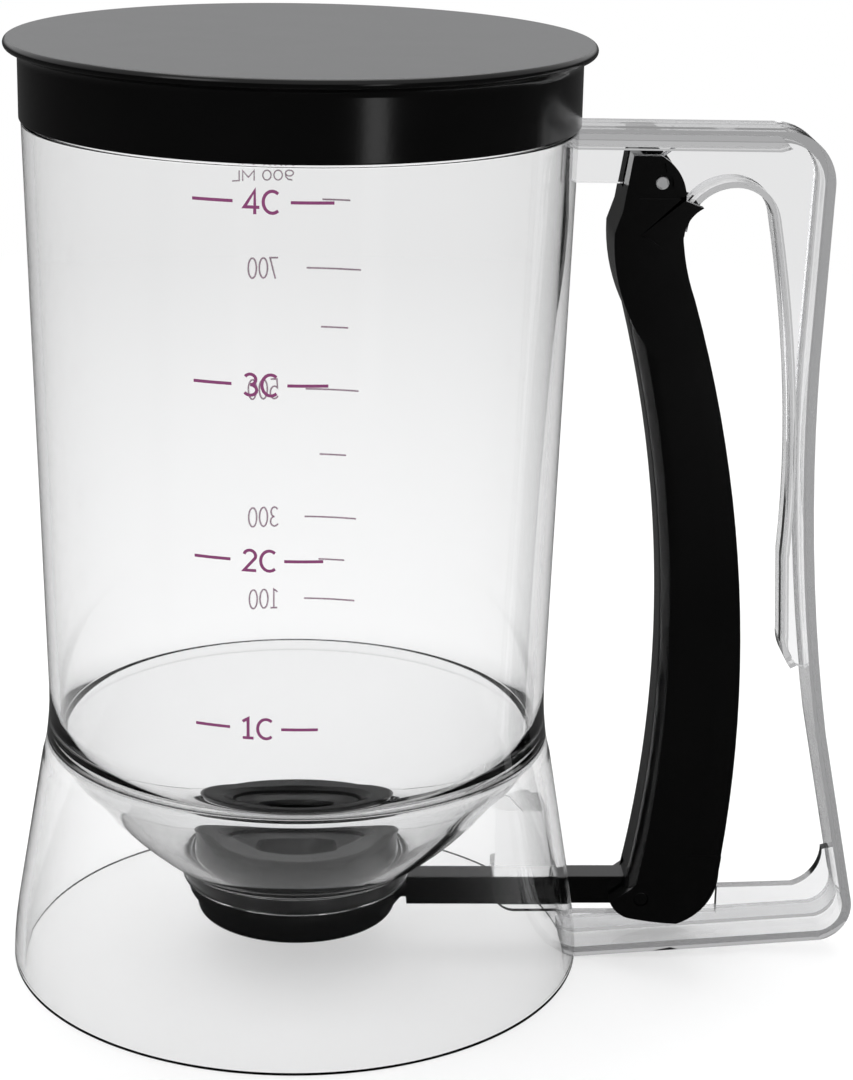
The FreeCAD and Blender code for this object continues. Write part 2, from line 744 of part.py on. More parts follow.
# Behind a ridge the grip's cheeks step in towards the rear edge.
ridge = sketch_on(trigger_lever, "XZ_Plane")
outline(ridge, [
    (px - 3.8, pz - 10.0, 8.0),
    (px + 1.9, pz - 14.5),
    (px + 5.4, pz - 28.0, 287.0),
    (px + 12.2, lz + 9.4),
    (px + 26.0, lz + 9.4),
    (px + 26.0, pz - 28.0),
    (px + 7.0, pz - 10.0),
])
cut_both_cheeks(ridge, size("rear_step"))
recess = sketch_on(trigger_lever, "XZ_Plane")
outline(recess, [
    (px - 3.4, pz + 3.4),
    (px - 4.4, pz - 3.0),
    (px + 4.6, pz - 3.0, 8.6),
    (px + 0.4, pz + 3.8),
])
ring(recess, px, pz, size("pin_radius") + 0.9)
cut_both_cheeks(recess, size("recess_depth"))


def pin(label, radius, half_length, x, z):
    """A plain pin across the handle's plane."""
    body = new_body(label)
    circle = sketch_on(body, "XZ_Plane")
    ring(circle, x, z, radius)
    pad(body, circle, half_length * 2)
    return body


pivot_pin = pin("pivot_pin", size("pin_radius") - 0.01, size("lever_half_width"), px, pz)
link_pin = pin("link_pin", size("link_radius") - 0.01, size("lever_half_width") - 0.3, lx, lz)

# Return spring: a torsion coil round the pin behind the web, with a leg on the lever and one on the root.
coil_radius = SIZES["spring_coil_radius"]
wire_radius = SIZES["spring_wire"] / 2
pitch = SIZES["spring_wire"] * 1.15
coil_start = SIZES["web_thickness"] / 2 + wire_radius + 0.2
turns = SIZES["spring_turns"]
centre = FreeCAD.Vector(SIZES["pivot_x"], coil_start, SIZES["pivot_height"])
root_contact = root_low.number - wire_radius - 0.02
lever_leg = centre + FreeCAD.Vector(-4.8, 0, -8.6)
root_leg = FreeCAD.Vector(centre.x + 3.2, coil_start + pitch * turns, root_contact)
coil = []
for step in range(int(turns * 16) + 1):
    angle = math.pi - 2 * math.pi * step / 16
    across = FreeCAD.Vector(coil_radius * math.cos(angle), pitch * step / 16, coil_radius * math.sin(angle))
    coil.append(centre + across)
points = [lever_leg + (coil[0] - lever_leg) * (step / 4) for step in range(4)]
points += coil
points += [coil[-1] + (root_leg - coil[-1]) * (step / 4) for step in range(1, 5)]
path = Part.BSplineCurve()
path.interpolate(points)
wire = Part.Wire([path.toShape()])
section = Part.Wire([Part.makeCircle(wire_radius, points[0], path.tangent(path.FirstParameter)[0])])
return_spring = doc.addObject("Part::Feature", "return_spring")
return_spring.Label = "return_spring"
return_spring.Shape = wire.makePipeShell([section], True, False)


def export(nodes):
    """Write each node to its own file once every object and shape is sound."""
    doc.recompute()
    for item in doc.Objects:
        if "Invalid" in item.State or "Error" in item.State:
            raise RuntimeError("%s failed" % item.Name)
    for node in nodes:
        if node.Shape.isNull() or not node.Shape.isValid():
            raise RuntimeError("%s has a bad shape" % node.Label)
    os.makedirs("parts", exist_ok=True)
    shift = -(outer_x + size("grip_bulge") - size("skirt_radius")) / 2
    for node in nodes:
        node.Placement = FreeCAD.Placement(FreeCAD.Vector(shift.number, 0, 0), FreeCAD.Rotation())
        node.setExpression("Placement.Base.x", shift.formula)
    doc.recompute()
    for node in nodes:
        node.Shape.exportStep("parts/%s.step" % node.Label)
        box = node.Shape.BoundBox
        print("%-14s solids %d volume %9.1f  x %6.1f %6.1f  y %6.1f %6.1f  z %6.1f %6.1f" % (
            node.Label, len(node.Shape.Solids), node.Shape.Volume,
            box.XMin, box.XMax, box.YMin, box.YMax, box.ZMin, box.ZMax))


export([
    hopper, base_skirt, lid, valve_seat, outlet_ring, gate_slide,
    handle_frame, rod_guide, trigger_lever, pivot_pin, link_pin, return_spring,
])
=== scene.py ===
import logging
import math
from dataclasses import dataclass, field
from enum import Enum
from typing import Sequence, Union

import bmesh
import bpy
from mathutils import Matrix, Vector


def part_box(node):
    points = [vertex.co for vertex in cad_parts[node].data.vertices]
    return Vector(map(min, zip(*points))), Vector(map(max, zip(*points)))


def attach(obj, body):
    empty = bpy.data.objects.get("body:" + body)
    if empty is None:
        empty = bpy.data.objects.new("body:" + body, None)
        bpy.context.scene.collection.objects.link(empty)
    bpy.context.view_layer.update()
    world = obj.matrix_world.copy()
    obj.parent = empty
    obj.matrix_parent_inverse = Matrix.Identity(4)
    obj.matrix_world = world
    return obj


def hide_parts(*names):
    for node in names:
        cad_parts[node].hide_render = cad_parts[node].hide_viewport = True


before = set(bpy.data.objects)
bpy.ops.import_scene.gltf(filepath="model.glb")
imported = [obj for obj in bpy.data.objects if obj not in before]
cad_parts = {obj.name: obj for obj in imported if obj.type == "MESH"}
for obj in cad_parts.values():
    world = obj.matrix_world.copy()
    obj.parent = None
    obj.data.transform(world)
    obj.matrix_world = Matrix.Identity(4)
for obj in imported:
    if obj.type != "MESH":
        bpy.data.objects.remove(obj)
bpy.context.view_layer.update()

LOG = logging.getLogger("batter_dispenser")
MM = 0.001
ARC_SLACK = 1.0001  # keeps a bend a little wider than half its chord
ARC_STEP = 4.0  # longest step along a wide bend, in millimetres
STRAIGHT = 172.0  # degrees from which a corner counts as straight
CORNER_SHARE = 0.45  # share of a side that one rounded corner may take
SOFT_STEPS = (0.0, 0.25, 0.5, 0.75, 1.0)
SHARP_EDGE = 28.0  # degrees from which an edge of a moulding is rounded
FLAT_FACES = 0.6  # degrees up to which neighbouring facets are one face
WELD = 2e-6  # metres within which vertices are one
BEVEL_STEPS = 3
NORMAL_WEIGHT = 80
MITRE_LIMIT = 0.45  # smallest share that stretches a printed line at a sharp turn
RULE_STEPS = 8
Colour = tuple[float, float, float]
Point = tuple[float, float]


class Body(Enum):
    """The rigid bodies that pieces ride on."""

    VESSEL = "root"
    TRIGGER = "trigger"
    SLIDE = "slide"
    CAP = "cap"


class Op(Enum):
    """The arithmetic that a socket understands."""

    ADD = "ADD"
    SUBTRACT = "SUBTRACT"
    MULTIPLY = "MULTIPLY"
    MAXIMUM = "MAXIMUM"


class Socket:
    """One value in a material's graph, which arithmetic turns into further nodes."""

    def __init__(self, graph: "Graph", output: bpy.types.NodeSocket) -> None:
        """Wrap an output of the graph."""
        self.graph = graph
        self.output = output

    def _join(self, op: Op, first: "Term", second: "Term") -> "Socket":
        """Add one Math node that joins two values."""
        return self.graph.node("ShaderNodeMath", {"operation": op.value}, {0: first, 1: second})

    def __add__(self, other: "Term") -> "Socket":
        """Sum of two values."""
        return self._join(Op.ADD, self, other)

    def __radd__(self, other: "Term") -> "Socket":
        """Sum with a number on the left."""
        return self._join(Op.ADD, other, self)

    def __sub__(self, other: "Term") -> "Socket":
        """Difference of two values."""
        return self._join(Op.SUBTRACT, self, other)

    def __rsub__(self, other: "Term") -> "Socket":
        """Difference with a number on the left."""
        return self._join(Op.SUBTRACT, other, self)

    def __mul__(self, other: "Term") -> "Socket":
        """Product of two values."""
        return self._join(Op.MULTIPLY, self, other)

    def __rmul__(self, other: "Term") -> "Socket":
        """Product with a number on the left."""
        return self._join(Op.MULTIPLY, other, self)

    def __or__(self, other: "Term") -> "Socket":
        """Larger of two values, which joins two masks."""
        return self._join(Op.MAXIMUM, self, other)


Term = Union[Socket, float, int, Sequence[float]]


class Graph:
    """The node graph of a material or of the world."""

    def __init__(self, owner: Union[bpy.types.Material, bpy.types.World]) -> None:
        """Start an empty graph on its owner."""
        owner.use_nodes = True
        self.tree = owner.node_tree
        self.tree.nodes.clear()

    def node(self, kind: str, settings: dict | None = None, inputs: dict | None = None,
             output: Union[str, int] = 0) -> Socket:
        """Add a node of any kind.

        Args:
            kind: The node's type.
            settings: Properties set first. "stops" fills a colour ramp with (place, colour) pairs.
            inputs: Values or links by socket name or number.
            output: The output that the result stands for.

        Returns:
            The chosen output as a Socket.
        """
        made = self.tree.nodes.new(kind)
        for name, value in (settings or {}).items():
            if name == "stops":
                self._fill_ramp(made.color_ramp, value)
            else:
                setattr(made, name, value)
        for name, value in (inputs or {}).items():
            if isinstance(value, Socket):
                self.tree.links.new(value.output, made.inputs[name])
            else:
                made.inputs[name].default_value = value
        return Socket(self, made.outputs[output] if len(made.outputs) else None)

    @staticmethod
    def _fill_ramp(ramp: bpy.types.ColorRamp, stops: Sequence[tuple[float, Colour]]) -> None:
        """Give a colour ramp its stops."""
        for index, (place, colour) in enumerate(stops):
            stop = ramp.elements[index] if index < 2 else ramp.elements.new(place)
            stop.position = place
            stop.color = (*colour, 1.0)

    def noise(self, scale: float, detail: float = 2.0, roughness: float = 0.5) -> Socket:
        """Noise from 0 to 1 in object space, with its scale in cells a metre."""
        place = self.node("ShaderNodeTexCoord", output="Object")
        return self.node("ShaderNodeTexNoise", inputs={
            "Vector": place, "Scale": scale, "Detail": detail, "Roughness": roughness})

    def bump(self, height: Socket, depth: float, strength: float = 1.0) -> Socket:
        """Normal from a height, with the depth in metres."""
        return self.node("ShaderNodeBump", inputs={
            "Height": height, "Distance": depth, "Strength": strength})

    def tint(self, factor: Socket, first: Colour, second: Colour) -> Socket:
        """Colour between two colours by a factor."""
        return self.node("ShaderNodeMix", {"data_type": "RGBA"}, {
            0: factor, 6: (*first, 1.0), 7: (*second, 1.0)}, output=2)

    def surface(self, inputs: dict) -> Socket:
        """Principled surface with the given sockets."""
        return self.node("ShaderNodeBsdfPrincipled", inputs=inputs)

    def finish(self, surface: Socket, kind: str = "ShaderNodeOutputMaterial",
               volume: Socket | None = None) -> None:
        """Link the surface, and a volume where there is one, to the output."""
        self.node(kind, inputs={"Surface": surface, **({"Volume": volume} if volume else {})})


def new_graph(name: str) -> tuple[bpy.types.Material, Graph]:
    """A new material and its graph."""
    material = bpy.data.materials.new(name)
    return material, Graph(material)


@dataclass(frozen=True)
class ClearPlastic:
    """Clear moulded plastic with a slight grey tint and faint flow marks, which lets lamplight through."""

    name: str
    pale: Colour = (0.963, 0.964, 0.965)
    deep: Colour = (0.948, 0.949, 0.95)
    roughness: float = 0.012
    index: float = 1.46
    mirror: float = 0.06
    flow_depth: float = 0.00004
    absorbed: Colour = (0.32, 0.32, 0.325)
    density: float = 48.0
    passed: Colour = (0.93, 0.93, 0.93)
    haze_spread: float = 0.02

    def material(self) -> bpy.types.Material:
        """Build the finish."""
        made, graph = new_graph(self.name)
        flow = graph.noise(26.0, 1.5)
        haze = graph.noise(210.0, 3.0)
        depth = graph.node("ShaderNodeVolumeAbsorption", inputs={
            "Color": (*self.absorbed, 1.0), "Density": self.density})
        body = graph.surface({
            "Base Color": graph.tint(flow, self.pale, self.deep),
            "Roughness": haze * self.haze_spread + self.roughness,
            "IOR": self.index,
            "Specular Tint": (self.mirror, self.mirror, self.mirror, 1.0),
            "Transmission Weight": 1.0,
            "Normal": graph.bump(flow, self.flow_depth)})
        passing = graph.node("ShaderNodeBsdfTransparent", inputs={"Color": (*self.passed, 1.0)})
        shadow = graph.node("ShaderNodeLightPath", output="Is Shadow Ray")
        lit = graph.node("ShaderNodeMixShader", inputs={0: shadow, 1: body, 2: passing})
        graph.finish(lit, volume=depth)
        return made


@dataclass(frozen=True)
class MouldedPlastic:
    """Opaque moulded plastic whose grain, mottle and polish are set by a few numbers."""

    name: str
    colour: Colour
    lifted: Colour
    roughness: float
    spread: float
    grain_scale: float
    grain_depth: float
    specular: float = 0.5

    def material(self) -> bpy.types.Material:
        """Build the finish."""
        made, graph = new_graph(self.name)
        mottle = graph.noise(60.0, 3.0)
        grain = graph.noise(self.grain_scale, 4.0, 0.6)
        graph.finish(graph.surface({
            "Base Color": graph.tint(mottle, self.colour, self.lifted),
            "Roughness": self.roughness + (mottle - 0.5) * self.spread + grain * 0.03,
            "Specular IOR Level": self.specular,
            "Normal": graph.bump(grain, self.grain_depth)}))
        return made


@dataclass(frozen=True)
class SpringSteel:
    """Drawn steel wire with faint lengthwise scratches."""

    name: str = "spring_steel_wire"

    def material(self) -> bpy.types.Material:
        """Build the finish."""
        made, graph = new_graph(self.name)
        scratch = graph.noise(3200.0, 2.0)
        graph.finish(graph.surface({
            "Base Color": graph.tint(scratch, (0.55, 0.55, 0.56), (0.7, 0.7, 0.71)),
            "Metallic": 1.0,
            "Roughness": 0.22 + scratch * 0.15,
            "Normal": graph.bump(scratch, 0.00001)}))
        return made


@dataclass(frozen=True)
class Ink:
    """Screen-printed ink, slightly uneven where the mesh let less through."""

    name: str
    colour: Colour
    worn: Colour
    cover: float = 1.0

    def material(self) -> bpy.types.Material:
        """Build the finish."""
        made, graph = new_graph(self.name)
        mesh = graph.noise(2600.0, 2.0)
        graph.finish(graph.surface({
            "Base Color": graph.tint(mesh, self.colour, self.worn),
            "Roughness": 0.42 + mesh * 0.12,
            "Alpha": self.cover,
            "Specular IOR Level": 0.3,
            "Normal": graph.bump(mesh, 0.000008)}))
        return made


@dataclass(frozen=True)
class Corner:
    """One corner of an outline, in millimetres.

    A bend curves the side that leaves the corner: above 0 to the left of its direction, below 0 to the
    right. A soft radius rounds the corner itself.
    """

    x: float
    z: float
    bend: float = 0.0
    soft: float = 0.0


def side_points(start: Corner, end: Corner, step: float = 6.0) -> list[Vector]:
    """Points along a side from its start, without its end.

    Args:
        start: Corner that the side leaves.
        end: Corner that the side reaches.
        step: Degrees between the points of a bent side.

    Returns:
        Points in millimetres.
    """
    a = Vector((start.x, start.z))
    b = Vector((end.x, end.z))
    if not start.bend:
        return [a]
    chord = b - a
    radius = max(abs(start.bend), chord.length / 2 * ARC_SLACK)
    rise = math.sqrt(radius * radius - chord.length_squared / 4)
    left = Vector((-chord.y, chord.x)).normalized()
    centre = (a + b) / 2 - left * math.copysign(rise, start.bend)
    first = math.atan2(a.y - centre.y, a.x - centre.x)
    last = math.atan2(b.y - centre.y, b.x - centre.x)
    turn = (last - first + math.pi) % (2 * math.pi) - math.pi
    count = max(3, round(abs(math.degrees(turn)) / step), round(radius * abs(turn) / ARC_STEP))
    angles = [first + turn * k / count for k in range(count)]
    return [centre + radius * Vector((math.cos(angle), math.sin(angle))) for angle in angles]


def softened_corner(before: Vector, corner: Vector, after: Vector, radius: float) -> list[Vector]:
    """Arc that rounds a corner between its neighbours."""
    back = before - corner
    ahead = after - corner
    angle = back.angle(ahead)
    if angle > math.radians(STRAIGHT):
        return [corner]
    reach = min(radius / math.tan(angle / 2), back.length * CORNER_SHARE, ahead.length * CORNER_SHARE)
    first = corner + back.normalized() * reach
    last = corner + ahead.normalized() * reach
    return [first.lerp(corner, t).lerp(corner.lerp(last, t), t) for t in SOFT_STEPS]


def outline_points(corners: Sequence[Corner], closed: bool = True) -> list[Vector]:
    """All points of an outline, with bends and soft corners worked out.

    Args:
        corners: Corners in order.
        closed: Whether the last corner joins the first.

    Returns:
        Points in millimetres.
    """
    rough: list[tuple[Vector, float]] = []
    count = len(corners)
    for index, corner in enumerate(corners):
        last = index == count - 1
        sides = [Vector((corner.x, corner.z))] if last and not closed else side_points(
            corner, corners[(index + 1) % count])
        rough += [(sides[0], corner.soft)] + [(point, 0.0) for point in sides[1:]]
    points: list[Vector] = []
    for index, (point, soft) in enumerate(rough):
        if soft and (closed or 0 < index < len(rough) - 1):
            before = rough[index - 1][0]
            after = rough[(index + 1) % len(rough)][0]
            points += softened_corner(before, point, after, soft)
        else:
            points.append(point)
    return points


def mesh_object(name: str, verts: Sequence[Sequence[float]],
                faces: Sequence[Sequence[int]]) -> bpy.types.Object:
    """A linked object from vertices in metres and faces, shaded smooth with weighted normals."""
    mesh = bpy.data.meshes.new(name)
    mesh.from_pydata([tuple(v) for v in verts], [], [tuple(f) for f in faces])
    return shown(name, mesh)


def shown(name: str, mesh: bpy.types.Mesh) -> bpy.types.Object:
    """Link a mesh as an object with outward faces and weighted smooth normals."""
    work = bmesh.new()
    work.from_mesh(mesh)
    bmesh.ops.recalc_face_normals(work, faces=work.faces)
    work.to_mesh(mesh)
    work.free()
    mesh.shade_smooth()
    made = bpy.data.objects.new(name, mesh)
    bpy.context.scene.collection.objects.link(made)
    weighted = made.modifiers.new("weighted_normals", "WEIGHTED_NORMAL")
    weighted.weight = NORMAL_WEIGHT
    return made


def turned(name: str, corners: Sequence[Corner], axis_x: float, segments: int = 192,
           closed: bool = True) -> bpy.types.Object:
    """Turn an outline of (radius, height) about the vessel's axis.

    Args:
        name: Piece name.
        corners: Outline in millimetres. An open outline starts and ends on the axis.
        axis_x: Where the axis stands along x, in metres.
        segments: Faces round the axis.
        closed: Whether the outline is a loop clear of the axis.

    Returns:
        The new object.
    """
    profile = outline_points(corners, closed)
    rows = profile if closed else profile[1:-1]
    verts = []
    for point in rows:
        for k in range(segments):
            angle = 2 * math.pi * k / segments
            radius = point.x * MM
            verts.append((axis_x + radius * math.cos(angle), radius * math.sin(angle), point.y * MM))
    count = len(rows)
    faces = []
    for row in range(count if closed else count - 1):
        following = (row + 1) % count
        for k in range(segments):
            after = (k + 1) % segments
            faces.append((row * segments + k, row * segments + after,
                          following * segments + after, following * segments + k))
    if not closed:
        for row, point in ((0, profile[0]), (count - 1, profile[-1])):
            hub = len(verts)
            verts.append((axis_x, 0.0, point.y * MM))
            start = row * segments
            faces += [(start + k, start + (k + 1) % segments, hub) for k in range(segments)]
    return mesh_object(name, verts, faces)


def smoothed_copy(name: str, node: str, width: float) -> bpy.types.Object:
    """Copy of a solid of the frame with its edges rounded like a moulding's.

    Args:
        name: Piece name.
        node: Solid that is copied.
        width: Width of the rounding, in millimetres.

    Returns:
        The new object.
    """
    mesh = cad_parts[node].data.copy()
    mesh.name = name
    work = bmesh.new()
    work.from_mesh(mesh)
    bmesh.ops.remove_doubles(work, verts=work.verts, dist=WELD)
    bmesh.ops.dissolve_limit(work, angle_limit=math.radians(FLAT_FACES), verts=work.verts, edges=work.edges)
    edges = [edge for edge in work.edges
             if len(edge.link_faces) == 2 and edge.calc_face_angle(0.0) > math.radians(SHARP_EDGE)]
    bmesh.ops.bevel(work, geom=edges, offset=width * MM, offset_type="OFFSET", segments=BEVEL_STEPS,
                    profile=0.5, affect="EDGES", clamp_overlap=True)
    work.to_mesh(mesh)
    work.free()
    mesh.materials.clear()
    return shown(name, mesh)


def dress(piece: bpy.types.Object, material: bpy.types.Material, body: Body, slot: str,
          *nodes: str) -> bpy.types.Object:
    """Give a piece its finish, its body and the solids that it stands for."""
    piece.data.materials.append(material)
    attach(piece, body.value)
    if nodes:
        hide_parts(*nodes)
    LOG.info("%s rides on %s", piece.name, body.value)
    return piece


def dress_node(node: str, material: bpy.types.Material) -> None:
    """Give a solid that stays its finish."""
    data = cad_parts[node].data
    data.materials.clear()
    data.materials.append(material)
    data.shade_smooth()
    LOG.info("%s keeps its solid", node)


@dataclass
class Vessel:
    """The clear hopper with its funnel, and the flared skirt that it stands on.

    Lengths are in millimetres, except the axis and the slot's span, which are in metres.
    """

    axis_x: float
    finish: bpy.types.Material
    waist: Point = (48.95, 57.0)
    shoulder: Point = (51.8, 168.2)
    rim_height: float = 181.4
    rim_outer: float = 50.85
    rim_inner: float = 49.7
    wall: float = 1.95
    seam: Point = (49.45, 48.3)
    spigot: Point = (47.35, 45.5)
    neck_outer: float = 23.0
    neck_inner: float = 20.9
    neck_bottom: float = 16.2
    neck_top: float = 19.4
    bowl: float = 90.0
    funnel_wall: float = 2.2
    foot_radius: float = 57.0
    skirt_wall: float = 2.0
    foot_bend: float = 76.0
    top_bend: float = 30.0
    slot_half: float = 5.0
    slot_bottom: float = 7.4
    slot_top: float = 17.4
    slot_arch: float = 6.25
    slot_span: Point = (0.04, 0.07)
    cone_foot: Point = (55.9, 11.5)
    cone_top: Point = (50.6, 42.5)
    waist_bend: float = 24.0

    def wall_radius(self, height: float) -> float:
        """Outer radius of the tapered wall at a height, in millimetres."""
        share = (height - self.waist[1]) / (self.shoulder[1] - self.waist[1])
        return self.waist[0] + (self.shoulder[0] - self.waist[0]) * share

    def hopper(self) -> bpy.types.Object:
        """Turn the hopper."""
        corners = [
            Corner(self.neck_outer, self.neck_bottom, soft=0.7),
            Corner(self.neck_outer, self.neck_top, -self.bowl),
            Corner(*self.spigot, soft=0.3),
            Corner(*self.seam, self.top_bend * 2, 0.3),
            Corner(*self.waist),
            Corner(*self.shoulder, soft=0.25),
            Corner(self.rim_outer, self.shoulder[1], soft=0.2),
            Corner(self.rim_outer, self.rim_height, soft=0.4),
            Corner(self.rim_inner, self.rim_height, soft=0.4),
            Corner(self.rim_inner, self.shoulder[1]),
            Corner(self.waist[0] - self.wall, self.waist[1], self.waist_bend),
            Corner(self.spigot[0] - self.funnel_wall * 0.45, self.seam[1],
                   self.bowl - self.funnel_wall),
            Corner(self.neck_inner, self.neck_top + self.funnel_wall * 0.55, soft=0.6),
            Corner(self.neck_inner, self.neck_bottom, soft=0.4),
        ]
        return dress(turned("hopper_shell", corners, self.axis_x), self.finish, Body.VESSEL,
                     "clear_shell", "hopper")

    def slot_cutter(self) -> bpy.types.Object:
        """Block that cuts the bar's slot through the handle side of the skirt."""
        spring = self.slot_top - self.slot_half / 2
        arch = outline_points([Corner(-self.slot_half, self.slot_bottom),
                               Corner(self.slot_half, self.slot_bottom),
                               Corner(self.slot_half, spring, -self.slot_arch),
                               Corner(-self.slot_half, spring)])
        near, far = (self.axis_x + reach for reach in self.slot_span)
        count = len(arch)
        verts = [(x, p.x * MM, p.y * MM) for x in (near, far) for p in arch]
        sides = [(k, (k + 1) % count, count + (k + 1) % count, count + k) for k in range(count)]
        ends = [tuple(range(count)), tuple(range(count, 2 * count))]
        return mesh_object("slot_cutter", verts, ends + sides)

    def skirt(self, finish: bpy.types.Material) -> bpy.types.Object:
        """Turn the skirt and cut the slot."""
        inner = self.skirt_side(self.skirt_wall)
        inside = [Corner(inner[3].x, inner[3].z, -(self.top_bend + self.skirt_wall)),
                  Corner(inner[2].x, inner[2].z),
                  Corner(inner[1].x, inner[1].z, self.foot_bend - self.skirt_wall),
                  Corner(inner[0].x, inner[0].z, soft=0.5)]
        piece = turned("skirt_shell", self.skirt_side(0.0) + inside, self.axis_x)
        cutter = self.slot_cutter()
        cut = piece.modifiers.new("slot", "BOOLEAN")
        cut.operation = "DIFFERENCE"
        cut.object = cutter
        bpy.context.view_layer.update()
        settled = bpy.context.evaluated_depsgraph_get()
        mesh = bpy.data.meshes.new_from_object(piece.evaluated_get(settled))
        bpy.data.objects.remove(cutter)
        bpy.data.objects.remove(piece)
        mesh.materials.clear()
        return dress(shown("skirt_wall", mesh), finish, Body.VESSEL, "clear_shell", "base_skirt")

    def skirt_side(self, inset: float) -> list[Corner]:
        """Side of the skirt from foot to seam, moved in by an inset."""
        return [
            Corner(self.foot_radius - inset, 0.0, -(self.foot_bend - inset), 0.5),
            Corner(self.cone_foot[0] - inset, self.cone_foot[1]),
            Corner(self.cone_top[0] - inset, self.cone_top[1], self.top_bend + inset),
            Corner(self.seam[0] - inset, self.seam[1], 0.0, 0.35),
        ]


@dataclass
class Lid:
    """The black press-on lid."""

    axis_x: float
    painted_sheen_top_finish: bpy.types.Material
    side_finish: bpy.types.Material
    disc_bottom: float = 181.55
    disc_top: float = 183.55
    rim_radius: float = 54.8
    skirt_outer: float = 52.2
    skirt_inner: float = 51.0
    skirt_bottom: float = 168.7
    plug_outer: float = 49.4
    plug_inner: float = 48.0
    plug_bottom: float = 175.55
    flare: float = 1.8
    flat_radius: float = 30.0
    shallow: tuple[float, float, float] = (0.02, 0.1, 0.15)
    top_band: float = 0.5
    up_facing: float = 0.9

    def build(self) -> bpy.types.Object:
        """Turn the lid and give its top the satin finish, whose lighter grey base colour is painted sheen.
        """
        half = (self.disc_top - self.disc_bottom) / 2
        corners = [
            Corner(0.0, self.disc_bottom),
            Corner(self.plug_inner, self.disc_bottom, soft=0.3),
            Corner(self.plug_inner, self.plug_bottom, soft=0.3),
            Corner(self.plug_outer, self.plug_bottom, soft=0.3),
            Corner(self.plug_outer, self.disc_bottom, soft=0.2),
            Corner(self.skirt_inner, self.disc_bottom, soft=0.2),
            Corner(self.skirt_inner, self.skirt_bottom, soft=0.25),
            Corner(self.skirt_outer, self.skirt_bottom, soft=0.35),
            Corner(self.skirt_outer, self.disc_bottom - self.flare, self.flare),
            Corner(self.skirt_outer + self.flare, self.disc_bottom, soft=0.15),
            Corner(self.rim_radius - half, self.disc_bottom, -half * ARC_SLACK),
            Corner(self.rim_radius - half, self.disc_top),
            Corner(self.rim_radius - half - 2.0, self.disc_top - self.shallow[0]),
            Corner(self.flat_radius, self.disc_top - self.shallow[1]),
            Corner(0.0, self.disc_top - self.shallow[2]),
        ]
        piece = turned("lid_cap", corners, self.axis_x, closed=False)
        dress(piece, self.side_finish, Body.CAP, "black_lid", "lid")
        piece.data.materials.append(self.painted_sheen_top_finish)
        # up-facing faces at the top take the lighter grey material: painted sheen on the lid's top
        for face in piece.data.polygons:
            if face.normal.z > self.up_facing and face.center.z > (self.disc_top - self.top_band) * MM:
                face.material_index = 1
        return piece


@dataclass
class Valve:
    """The black seat in the funnel, the ring under it and the sliding gate with its bar."""

    axis_x: float
    seat_finish: bpy.types.Material
    black: bpy.types.Material
    outer: float = 20.7
    bottom: float = 13.75
    top: float = 27.2
    bore: float = 13.6
    bore_floor: float = 22.7
    outlet: float = 5.6
    edge: float = 1.2
    edge_bend: float = 1.6
    mouth: Point = (2.0, 2.2)
    mouth_dip: float = 0.4
    cone: Point = (2.6, 2.0)
    throat: float = 2.0

    def build(self) -> None:
        """Turn the seat, and soften the ring and the slide."""
        corners = [
            Corner(self.outlet, self.bottom, soft=0.2),
            Corner(self.outer, self.bottom, soft=0.3),
            Corner(self.outer, self.top - self.edge, -self.edge_bend),
            Corner(self.outer - self.edge, self.top),
            Corner(self.bore + self.mouth[0], self.top - self.mouth_dip, soft=0.6),
            Corner(self.bore, self.top - self.mouth[1], soft=0.6),
            Corner(self.bore, self.bore_floor, soft=0.5),
            Corner(self.outlet + self.cone[0], self.bore_floor - self.cone[1], soft=0.5),
            Corner(self.outlet, self.bottom + self.throat, soft=0.4),
        ]
        dress(turned("seat_cup", corners, self.axis_x, 128), self.seat_finish, Body.VESSEL,
              "black_seat", "valve_seat")
        dress(smoothed_copy("outlet_collar", "outlet_ring", 0.3), self.black, Body.VESSEL,
              "black_parts", "outlet_ring")
        dress(smoothed_copy("gate_bar", "gate_slide", 0.35), self.black, Body.SLIDE,
              "black_parts", "gate_slide")


@dataclass
class Handle:
    """The clear handle loop, the bar's guide, the black lever, the pins and the spring."""

    clear: bpy.types.Material
    guide: bpy.types.Material
    black: bpy.types.Material
    steel: bpy.types.Material

    def build(self) -> None:
        """Soften the mouldings and dress the small parts."""
        dress(smoothed_copy("handle_loop", "handle_frame", 0.45), self.clear, Body.VESSEL,
              "clear_shell", "handle_frame")
        dress(smoothed_copy("bar_guide", "rod_guide", 0.3), self.guide, Body.VESSEL,
              "clear_shell", "rod_guide")
        dress(smoothed_copy("lever_grip", "trigger_lever", 0.55), self.black, Body.TRIGGER,
              "black_parts", "trigger_lever")
        dress(smoothed_copy("clear_pivot", "pivot_pin", 0.2), self.clear, Body.VESSEL,
              "clear_shell", "pivot_pin")
        dress(smoothed_copy("foot_pin", "link_pin", 0.25), self.black, Body.TRIGGER,
              "black_parts", "link_pin")
        dress_node("return_spring", self.steel)


def bow(x: float, y: float, wide: float, high: float, start: float, end: float) -> list[Point]:
    """Points along part of an ellipse.

    Args:
        x: Centre across.
        y: Centre up.
        wide: Half width.
        high: Half height.
        start: First angle in degrees.
        end: Last angle in degrees.

    Returns:
        Points from the first angle to the last.
    """
    steps = max(4, round(abs(end - start) / 18))
    angles = [math.radians(start + (end - start) * k / steps) for k in range(steps + 1)]
    return [(x + wide * math.cos(a), y + high * math.sin(a)) for a in angles]


